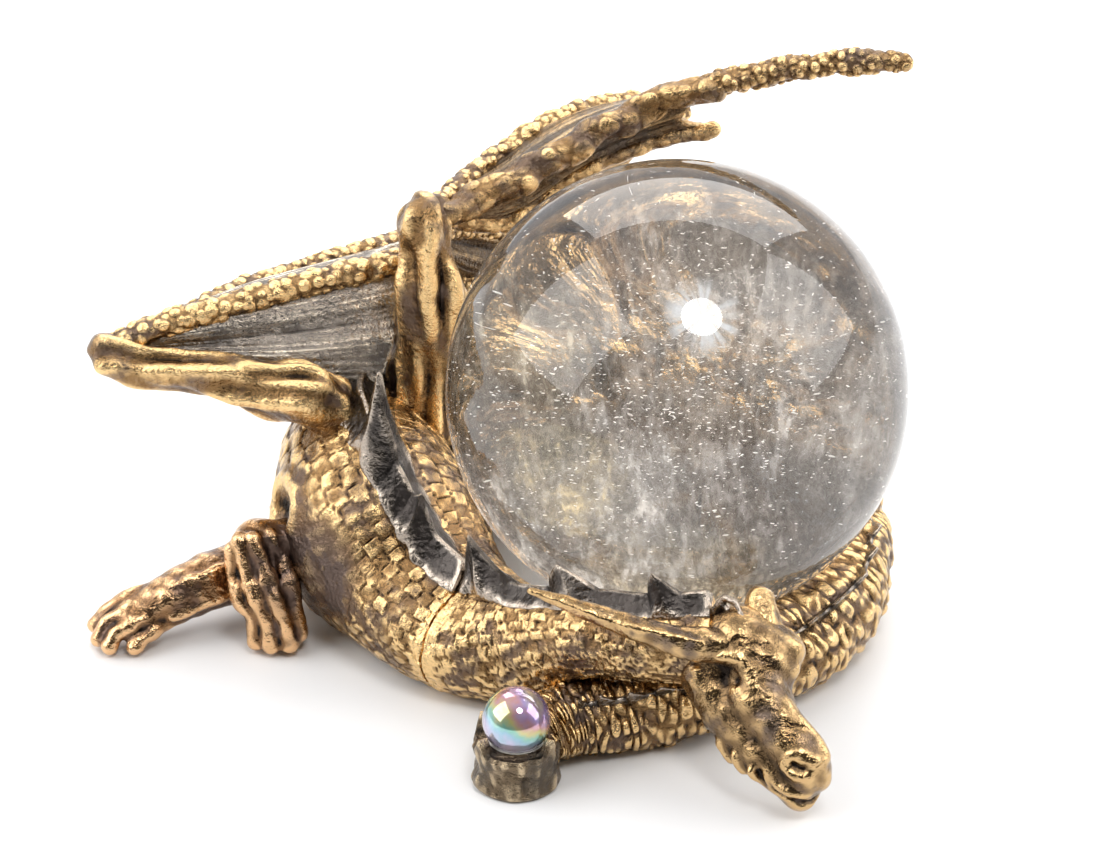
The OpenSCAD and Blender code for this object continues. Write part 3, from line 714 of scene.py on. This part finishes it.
left_fingers = [
    [left_wrist, (-20.8, 20, 45.8), (-11.5, 24, 50.7), (-2.9, 25.5, 54), (6, 26, 55.8)],
    [left_wrist, (-20.7, 18.5, 51.6), (-10, 22, 57), (-0.8, 24, 60.6), (6.5, 24, 63)],
    [left_wrist, (-23.6, 25, 50.8), (-14.6, 33, 53.6), (-5, 41, 52.4), (3, 46.6, 48.4)],
    [left_wrist, (-28.8, 24, 43), (-21.8, 34, 37.4), (-14, 41, 31.6), (-6.4, 44.6, 25.5)],
    [left_wrist, (-30.2, 20, 41), (-29, 25.6, 35), (-26.6, 29.6, 32), (-23, 33, 31)]]
right_fingers = [
    [(-70, 8, 34), (-62, 7.4, 32.1), (-54, 7, 30.9), (-46, 7, 29), (-37, 9.6, 27)],
    [(-70, 8, 34), (-63.2, 9.5, 36.7), (-56.6, 11.5, 38), (-46.3, 15, 39.4), (-31.6, 20, 41)],
    [(-70, 8, 34), (-61.2, 13, 36), (-53, 20, 36.9), (-44, 27, 36.6), (-31.6, 35, 36.6)],
    [(-70, 8, 34), (-62.4, 18, 31.6), (-53.4, 27, 27.4), (-44.6, 33.6, 22.6), (-38, 37, 19.4)]]


def wing_sheet(fingers, bays, half_t, seed):
    """A thin closed sheet over a fan of fingers; v goes out over one face and back over the
    other. Its outer edge is let in by a bay between each two fingers."""
    last = len(fingers) - 1

    def middle(reach, fan):
        i = np.minimum(fan.astype(int), last - 1)
        f = fan - i
        reach = (0.1 + 0.9 * reach) * (1 - np.array(bays)[i] * np.sin(math.pi * f))
        at = np.stack([along(finger, reach) for finger in fingers])
        rows = np.arange(len(fan))
        return at[i, rows] * (1 - f)[:, None] + at[i + 1, rows] * f[:, None]

    def place(u, v):
        loop = 2 * math.pi * v
        fan = last * np.clip(0.5 - 0.5 * np.cos(loop), 0, 1)
        face = np.sign(np.sin(loop)) * np.sqrt(np.clip(np.abs(np.sin(loop)) * 3, 0, 1))
        centre = middle(u, fan)
        step = 0.02
        over = middle(np.minimum(u + step, 1), fan) - middle(np.maximum(u - step, 0), fan)
        round_fan = middle(u, np.minimum(fan + step, last)) - middle(u, np.maximum(fan - step, 0))
        lift = unit(np.cross(over, round_fan))
        hairs = waves(np.column_stack([fan * 42, u * 2.5]), 1.0, seed) * rise(u, 0.02, 0.2)
        folds = waves(np.column_stack([fan * 5, u * 1.4]), 1.0, seed + 1)
        half = half_t + 0.045 * hairs
        edge = (u < 1e-6) | (u > 1 - 1e-6)
        half = np.where(edge, 0, half)
        sag = 0.3 * folds * rise(u, 0, 0.3)
        return centre + lift * (face * half + sag)[:, None]
    return place


wing_silver = aged_metal("wing_silver", (0.66, 0.58, 0.47), (0.26, 0.225, 0.19),
                         (0.04, 0.034, 0.03), (0.11, 0.1, 0.092), 0.5)
wing_bronze = aged_metal("wing_bronze", (0.55, 0.38, 0.2), (0.16, 0.11, 0.065),
                         (0.03, 0.022, 0.016), (0.12, 0.1, 0.085), 0.5)
skin("left_wing_sheet", 150, 520, wing_sheet(left_fingers, [0.16] * 4, 0.42, 51),
     wing_bronze, ["left_wing_skin"], 1.2)
skin("right_wing_sheet", 150, 460, wing_sheet(right_fingers, [-0.06, 0.1, 0.1], 0.42, 53),
     wing_silver, ["right_wing_skin"], 1.1)
for number, thick, lump_h in ((0, 1.1, 0.12), (2, 1.25, 0.36), (3, 1.1, 0.36), (4, 1.0, 0.36)):
    line = [(*p, thick) for p in left_fingers[number]]
    skin("left_finger_%d_casting" % number, 300, 48,
         rod(line, 1.2, lump_h, 60 + number, 0.15), antique_gold)
for number, thick in ((1, 1.5), (2, 1.15), (3, 1.1)):
    line = [(*p, thick) for p in right_fingers[number]]
    skin("right_finger_%d_casting" % number, 300, 48, rod(line, 1.4, 0.42, 70 + number),
         antique_gold)
right_arm = [(-40, 5.7, 25, 2.6), (-45.2, 6, 29.1, 3.8), (-50, 6.2, 30.1, 3.3),
             (-58.5, 6.7, 31.7, 2.7), (-65.9, 7.2, 32.7, 2.3), (-70.2, 7.7, 34.1, 2.5),
             (-72.2, 7.7, 34.5, 0.9)]
skin("right_arm_casting", 300, 90, rod(right_arm, 3.4, 0.1, 80, 0.5, (0.2, 1, 1)), antique_gold,
     ["right_wing_bones"])


# Bead cup. A rough little cup cast on the tail's tip, with four claws; a glass bead with an
# aurora coat is cemented in it.
cup_low, cup_high = (np.array(corner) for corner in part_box("bead_cup"))
bead_low, bead_high = (np.array(corner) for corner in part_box("bead"))
CUP = ((cup_low + cup_high) / 2 - AXIS)[:2] / MM
BEAD_R = (bead_high[0] - bead_low[0]) / 2 / MM
BEAD_Z = (bead_low[2] + bead_high[2]) / 2 / MM
CUP_R = BEAD_R + 1.1
CUP_H = 5.6
CLAW_TURNS, CLAW_HALF = (35, 145, 215, 325), 0.17


def cup_place(u, v):
    # Foot, wall, rim and hollow, as radius and height
    line = [(0.02, 0), (CUP_R * 0.97, 0), (CUP_R * 1.02, 0.4), (CUP_R * 0.94, 2.6),
            (CUP_R, CUP_H - 0.5), (CUP_R - 0.3, CUP_H), (BEAD_R + 0.25, CUP_H - 0.1),
            (BEAD_R * 0.8, BEAD_Z - BEAD_R + 1.5), (0.02, BEAD_Z - BEAD_R - 0.05)]
    at = u * (len(line) - 1)
    radius = np.interp(at, range(len(line)), [r for r, z in line])
    height = np.interp(at, range(len(line)), [z for r, z in line])
    angle = 2 * math.pi * v
    claw = 0
    for turn in CLAW_TURNS:
        aside = np.mod(angle - math.radians(turn) + math.pi, 2 * math.pi) - math.pi
        claw = claw + np.exp(-(aside / CLAW_HALF)**2)
    rim = rise(height, 3.2, 5.4) * rise(radius, BEAD_R * 0.9, BEAD_R + 0.2)
    height = height + rim * claw * 1.9
    way = np.column_stack([np.cos(angle), np.sin(angle), 0 * v])
    points = way * radius[:, None] + np.column_stack([0 * v, 0 * v, height])
    wall = rise(radius, BEAD_R + 0.2, BEAD_R + 0.5) * rise(height, 0.1, 0.8)
    relief = wall * (0.16 * waves(points, 1.6, 91) + 0.1 * waves(points, 0.7, 92) + 0.25 * claw)
    points = points + way * relief[:, None]
    closed = (u < 1e-6) | (u > 1 - 1e-6)
    points = np.where(closed[:, None], np.column_stack([0 * v, 0 * v, height]), points)
    return points + [*CUP, 0]


skin("bead_cup_casting", 160, 150, cup_place, grey_pewter, ["bead_cup"])

aurora = Finish("aurora_glass", Roughness=0.08, Metallic=0.6, Coat_Weight=1.0,
                Coat_Roughness=0.03)
bead_place = aurora.node("ShaderNodeVectorMath", {"operation": "SUBTRACT"}, {
    0: aurora.place, 1: tuple(AXIS + MM * np.array([*CUP, BEAD_Z]))})
bead_axes = aurora.node("ShaderNodeSeparateXYZ", {}, {0: bead_place})
up_bead = Link(aurora, bead_axes.socket.node.outputs[2]) * (1 / (BEAD_R * MM))
across_bead = bead_axes * (1 / (BEAD_R * MM))
bands = up_bead * 0.5 + across_bead * 0.25 + (aurora.noise(3.0, place=bead_place) - 0.5) * 0.7
rainbow = aurora.node("ShaderNodeValToRGB", {"stops": [
    (0.0, (0.5, 0.5, 0.62)), (1.0, (0.5, 0.46, 0.36)), (0.3, (0.56, 0.5, 0.68)),
    (0.45, (0.3, 0.5, 0.62)), (0.56, (0.25, 0.55, 0.42)), (0.66, (0.6, 0.55, 0.2)),
    (0.76, (0.6, 0.3, 0.3)), (0.86, (0.42, 0.3, 0.6))]}, {"Fac": bands * 0.8 + 0.5})
pearl = aurora.mix(rainbow, (0.62, 0.6, 0.66), aurora.noise(1.6, place=bead_place).between(0.4, 0.7))
aurora.feed(Base_Color=aurora.mix(rainbow, aurora.mix(rainbow, pearl, 0.4), 0.5))
bead = bmesh.new()
bmesh.ops.create_uvsphere(bead, u_segments=64, v_segments=32, radius=BEAD_R * MM)
bmesh.ops.translate(bead, verts=bead.verts, vec=Vector(AXIS + MM * np.array([*CUP, BEAD_Z])))
piece("aurora_bead", bead, aurora, "dragon", ["bead"])

# Hidden joints. The glue under the bead and the pegs inside the coil keep their plain solids.
cement = Finish("clear_cement", Roughness=0.15, Coat_Weight=0.5)
cement.feed(Base_Color=cement.mix((0.8, 0.78, 0.7), (0.66, 0.62, 0.52), cement.noise(1.2)))
cement.bump(cement.noise(0.8), 0.1)
solder = Finish("solder_pewter", Metallic=1.0)
solder.feed(Base_Color=solder.mix((0.6, 0.59, 0.57), (0.42, 0.41, 0.4), solder.noise(1.5)),
            Roughness=solder.noise(0.8).between(0.3, 0.7, 0.3, 0.55))
solder.bump(solder.noise(0.6), 0.06)
for node, finish in (("bead_cement", cement), ("neck_peg", solder), ("head_peg", solder),
                     ("tail_peg", solder)):
    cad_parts[node].data.materials.clear()
    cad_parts[node].data.materials.append(finish.material)

# Crystal ball. Polished natural quartz, faintly smoky; healed cracks inside it show as veils
# and clouds, and small open ones as flecks; veils, star and flecks are lit by painted glow.
# It lies loose in its seat.
quartz = Finish("rock_crystal", Roughness=0.0, IOR=1.54, Transmission_Weight=1.0)
quartz.feed(Base_Color=quartz.mix((0.87, 0.835, 0.79), (0.92, 0.895, 0.865), quartz.noise(18)))
ball = bmesh.new()
bmesh.ops.create_uvsphere(ball, u_segments=160, v_segments=80, radius=BALL_R * MM * 0.9995)
bmesh.ops.translate(ball, verts=ball.verts, vec=Vector(ball_middle))
piece("crystal_sphere", ball, quartz, "ball", ["crystal_ball"])


def veil(name, middle, facing, size, stretch, painted_glow, thick, colour=(0.9, 0.85, 0.79)):
    """A healed crack: a thin bent lens across "facing", seen as a cloud of fine specks that
    fades towards its rim. "middle" is counted from the ball's own middle."""
    place = ball_middle + MM * np.array(middle)
    # The veils glow with painted light, in place of the light that reaches them through the glass.
    cloud = Finish(name + "_cloud", Roughness=0.9, Emission_Strength=painted_glow)
    at = cloud.node("ShaderNodeVectorMath", {"operation": "SUBTRACT"}, {
        0: cloud.place, 1: tuple(place)})
    fade = cloud.far(place).between(size * MM * 0.25, size * MM * 0.98, 1.0, 0.0)
    puffs = cloud.noise(size * 0.5, 5.0, 0.65).between(0.42, 0.68)
    specks = cloud.noise(0.55, 4.0, 0.8).between(0.5, 0.72)
    threads = cloud.node("ShaderNodeMapping", {}, {"Vector": at, "Rotation": (0.3, 0.5, 0.9),
                                                  "Scale": (1, 0.16, 0.5)})
    streaks = cloud.noise(1.4, 4.0, 0.7, threads).between(0.5, 0.7)
    cloud.feed(Alpha=fade * (puffs * 0.7 + 0.3) * (specks * 0.5 + streaks * 0.5 + 0.1) * thick,
               Base_Color=cloud.mix(colour, tuple(0.9 * c for c in colour), puffs),
               Emission_Color=cloud.mix(colour, tuple(0.85 * c for c in colour), specks))
    lens = bmesh.new()
    bmesh.ops.create_uvsphere(lens, u_segments=48, v_segments=24, radius=size * MM)
    bmesh.ops.scale(lens, verts=lens.verts, vec=(1, stretch, 0.012))
    for v in lens.verts:
        v.co.z += 6 * (v.co.x**2 - 0.6 * v.co.y**2)
        v.co.z += 0.0006 * math.sin(v.co.x * 420 + v.co.y * 260)
    turn = Vector(facing).to_track_quat("Z", "Y").to_matrix()
    bmesh.ops.rotate(lens, verts=lens.verts, matrix=turn)
    bmesh.ops.translate(lens, verts=lens.verts, vec=Vector(place))
    piece(name, lens, cloud, "ball")


veil("veil_low_left", (-9, -8, -13), (-0.5, -0.8, 0.35), 16, 0.85, 0.8, 1.3)
veil("veil_band", (2, -4, -2), (0.5, -0.75, 0.45), 21, 0.6, 0.42, 1.2, (0.86, 0.82, 0.78))
veil("veil_top", (2, -2, 12), (0.1, -0.7, 0.7), 16, 0.8, 0.3, 1.1, (0.8, 0.74, 0.67))
veil("veil_right", (14, -5, 2), (0.75, -0.6, 0.1), 13, 0.9, 0.4, 0.7)
veil("veil_left", (-13, 0, 4), (-0.8, -0.5, 0.2), 13, 0.8, 0.35, 1.0, (0.9, 0.82, 0.66))
veil("veil_gold", (-12, -15, -2), (-0.4, -0.9, 0.2), 10, 0.6, 0.6, 1.2, (0.9, 0.74, 0.46))
veil("veil_foot", (0, -10, -18), (0.1, -0.9, 0.4), 14, 0.7, 0.6, 1.3, (0.92, 0.8, 0.6))
veil("veil_deep", (1, 9, -4), (0.1, -0.9, 0.3), 20, 0.9, 0.3, 1.2, (0.72, 0.63, 0.54))

# A feathered star just under the surface, lit by a painted white glow under the flash highlight
STAR = ball_middle + MM * np.array([2, -17, 19])
STAR_FACING = (0.08, -0.66, 0.75)
STAR_R = 5 * MM
star = Finish("star_painted_glow", Roughness=0.9, Emission_Strength=0.75)
star_at = star.node("ShaderNodeVectorMath", {"operation": "SUBTRACT"}, {
    0: star.place, 1: tuple(STAR)})
star_way = star.node("ShaderNodeVectorMath", {"operation": "NORMALIZE"}, {0: star_at})
petals = star.node("ShaderNodeTexNoise", {}, {"Vector": star_way, "Scale": 2.6, "Detail": 2.0})
fluff = star.noise(1.0, 4.0, 0.7)
round_fade = star.far(STAR).between(2.6 * MM, 4.9 * MM, 1.0, 0.0)
star.feed(Alpha=round_fade * petals.between(0.42, 0.58, 0.1, 1.0) * (fluff * 0.9 + 0.35),
          Base_Color=star.mix((0.25, 0.25, 0.25), (0.2, 0.21, 0.22), fluff),
          Emission_Color=star.mix((1, 1, 1), (0.85, 0.89, 0.94), fluff))
lens = bmesh.new()
bmesh.ops.create_uvsphere(lens, u_segments=48, v_segments=24, radius=STAR_R)
bmesh.ops.scale(lens, verts=lens.verts, vec=(1, 1, 0.02))
bmesh.ops.rotate(lens, verts=lens.verts,
                 matrix=Vector(STAR_FACING).to_track_quat("Z", "Y").to_matrix())
bmesh.ops.translate(lens, verts=lens.verts, vec=Vector(STAR))
piece("star_veil", lens, star, "ball")

# The flecks glow with painted glints, in place of light caught by the open cracks.
sparkle = Finish("open_cracks_painted_glint", Roughness=0.2, Emission_Strength=0.6, Specular_IOR_Level=1.0)
sparkle.feed(Emission_Color=sparkle.mix((1, 1, 1), (0.8, 0.77, 0.72), sparkle.noise(3)),
             Base_Color=sparkle.mix((1, 1, 1), (0.9, 0.88, 0.84), sparkle.noise(3)))
FLECK_TRIES, FLECK_R = 6500, 0.026 * MM
random = np.random.default_rng(77)
flecks = bmesh.new()
for number in range(FLECK_TRIES):
    at = random.normal(size=3) * [12, 10, 10]
    band = abs(at[2] - 0.45 * at[0] - 1) < 9 or random.random() < 0.4
    if not band or np.linalg.norm(at) > BALL_R - 1.5:
        continue
    size_here = FLECK_R * math.exp(min(random.normal() * 0.7, 0.9))
    facing = Vector(unit(random.normal(size=3) * [0.4, 1, 0.5]))
    turn = facing.to_track_quat("Z", "Y").to_matrix().to_4x4()
    stretch = Matrix.Diagonal((3.4, 1, 0.3, 1))
    bmesh.ops.create_icosphere(
        flecks, subdivisions=1, radius=size_here,
        matrix=Matrix.Translation(Vector(ball_middle + MM * at)) @ turn @ stretch)
piece("quartz_flecks", flecks, sparkle, "ball")
